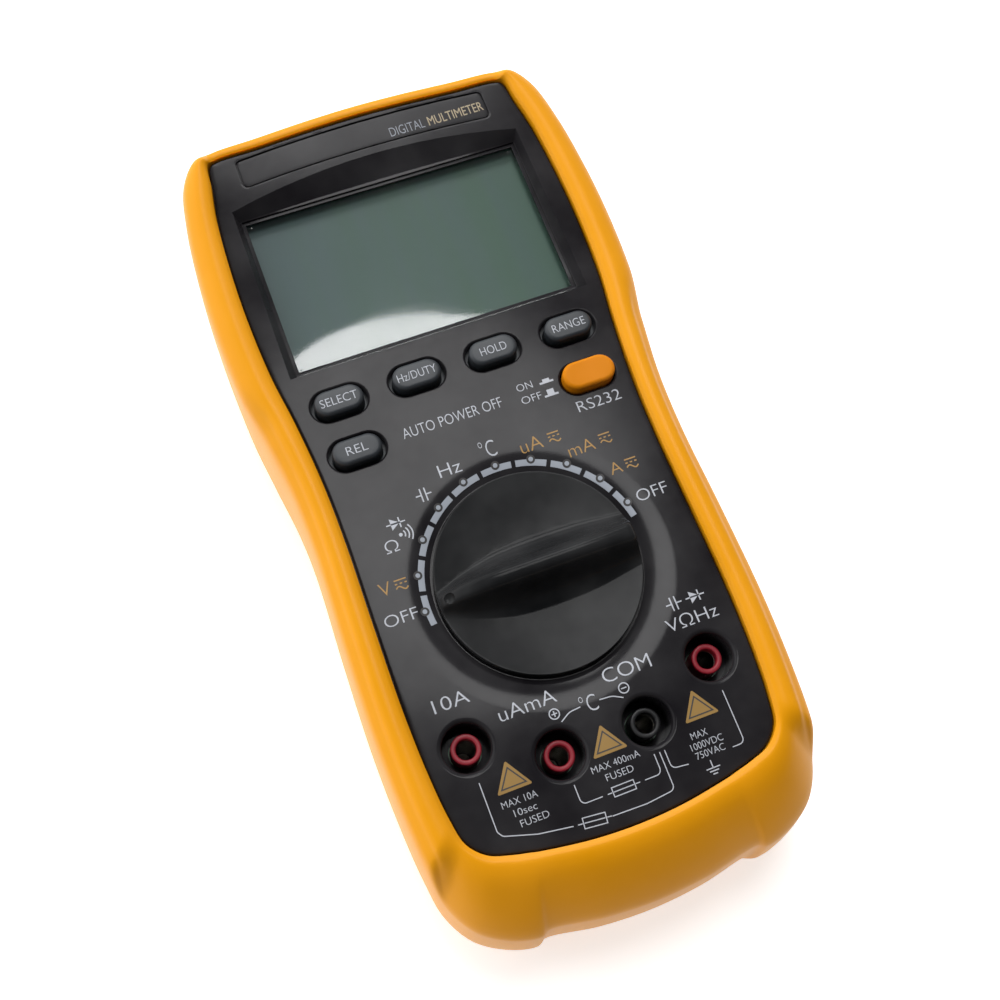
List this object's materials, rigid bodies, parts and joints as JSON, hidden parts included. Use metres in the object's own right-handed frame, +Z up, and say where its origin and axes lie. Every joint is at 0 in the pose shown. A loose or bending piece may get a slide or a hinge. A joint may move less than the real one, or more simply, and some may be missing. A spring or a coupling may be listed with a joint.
{
  "type": "handheld digital multimeter",
  "caption": "Handheld digital multimeter in a slip-on holster, with rotary selector, sprung keys, latching button, recessed 4 mm jacks and a fold-out stand.",
  "frame": {"origin": "centre of the footprint, on the surface the holster lies on", "axes": "+Z up out of the face, +Y towards the display end, +X to the right of a reader"},
  "size_m": [0.0948, 0.1918, 0.0467],
  "materials": {
    "holster_yellow": "satin soft-touch elastomer, moulded",
    "case_dark": "fine spark-eroded texture, satin",
    "rear_case_dark": "fine spark-eroded texture, matt",
    "knob_black": "fine grain, satin",
    "key_rubber": "matt silicone with printed legends",
    "button_orange": "semi-gloss",
    "window_clear": "polished clear",
    "lcd_glass": "grey-green twisted nematic panel",
    "frame_black": "matt",
    "zebra_rubber": "matt",
    "sleeve_red": "semi-gloss",
    "sleeve_black": "semi-gloss",
    "socket_nickel": "nickel plated, bright",
    "contact_brass": "bare, satin",
    "screw_steel": "zinc plated",
    "board_green": "solder mask over glass epoxy",
    "mat_rubber": "matt silicone",
    "rotor_white": "natural acetal",
    "fuse_ceramic": "glazed white",
    "battery_jacket": "printed foil jacket",
    "chip_black": "moulded epoxy",
    "crystal_can": "bright can",
    "varistor_blue": "dipped epoxy",
    "led_clear": "tinted clear"
  },
  "bodies": {
    "meter": {"holster": "holster_yellow", "front_shell": "case_dark", "rear_shell": "rear_case_dark", "battery_door": "rear_case_dark", "lcd_window": "window_clear", "detent_spring_left": "screw_steel", "detent_spring_right": "screw_steel", "keypad_mat": "mat_rubber", "push_switch": "chip_black", "jack_sleeve_10a": "sleeve_red", "jack_socket_10a": "socket_nickel", "jack_sleeve_ma": "sleeve_red", "jack_socket_ma": "socket_nickel", "jack_sleeve_com": "sleeve_black", "jack_socket_com": "socket_nickel", "jack_sleeve_v": "sleeve_red", "jack_socket_v": "socket_nickel", "lcd_panel": "lcd_glass", "lcd_frame": "frame_black", "zebra_strip_top": "zebra_rubber", "zebra_strip_bottom": "zebra_rubber", "main_board": "board_green", "fuse_10a": "fuse_ceramic", "fuse_10a_clip_top": "contact_brass", "fuse_10a_clip_bottom": "contact_brass", "fuse_ma": "fuse_ceramic", "fuse_ma_clip_top": "contact_brass", "fuse_ma_clip_bottom": "contact_brass", "shunt_bar": "contact_brass", "buzzer": "chip_black", "adc_chip": "chip_black", "crystal": "crystal_can", "varistor": "varistor_blue", "ir_led": "led_clear", "battery_9v": "battery_jacket", "battery_snap": "chip_black", "case_screw_1": "screw_steel", "case_screw_2": "screw_steel", "case_screw_3": "screw_steel", "case_screw_4": "screw_steel", "board_screw_1": "screw_steel", "board_screw_2": "screw_steel", "board_screw_3": "screw_steel", "battery_door_screw": "screw_steel"},
    "selector": {"knob": "knob_black", "switch_rotor": "rotor_white", "wiper_inner": "contact_brass", "wiper_outer": "contact_brass"},
    "select_key": {"key_select": "key_rubber"},
    "hz_duty_key": {"key_hz_duty": "key_rubber"},
    "hold_key": {"key_hold": "key_rubber"},
    "range_key": {"key_range": "key_rubber"},
    "rel_key": {"key_rel": "key_rubber"},
    "rs232_button": {"button_rs232": "button_orange"},
    "stand": {"tilt_stand": "holster_yellow"}
  },
  "joints": [
    {"name": "selector_turn", "type": "hinge", "parent": "meter", "child": "selector", "pos_m": [0, -0.0243, 0.038], "axis": [0, 0, 1], "range_deg": [-162, 0]},
    {"name": "select_key_press", "type": "slide", "parent": "meter", "child": "select_key", "axis": [0, 0, -1], "range_m": [0, 0.001], "stiffness_N_per_m": 800},
    {"name": "hz_duty_key_press", "type": "slide", "parent": "meter", "child": "hz_duty_key", "axis": [0, 0, -1], "range_m": [0, 0.001], "stiffness_N_per_m": 800},
    {"name": "hold_key_press", "type": "slide", "parent": "meter", "child": "hold_key", "axis": [0, 0, -1], "range_m": [0, 0.001], "stiffness_N_per_m": 800},
    {"name": "range_key_press", "type": "slide", "parent": "meter", "child": "range_key", "axis": [0, 0, -1], "range_m": [0, 0.001], "stiffness_N_per_m": 800},
    {"name": "rel_key_press", "type": "slide", "parent": "meter", "child": "rel_key", "axis": [0, 0, -1], "range_m": [0, 0.001], "stiffness_N_per_m": 800},
    {"name": "rs232_button_press", "type": "slide", "parent": "meter", "child": "rs232_button", "axis": [0, 0, -1], "range_m": [0, 0.002], "stiffness_N_per_m": 600},
    {"name": "stand_swing", "type": "hinge", "parent": "meter", "child": "stand", "pos_m": [0, 0.0377, 0.0016], "axis": [1, 0, 0], "range_deg": [0, 60]}
  ]
}
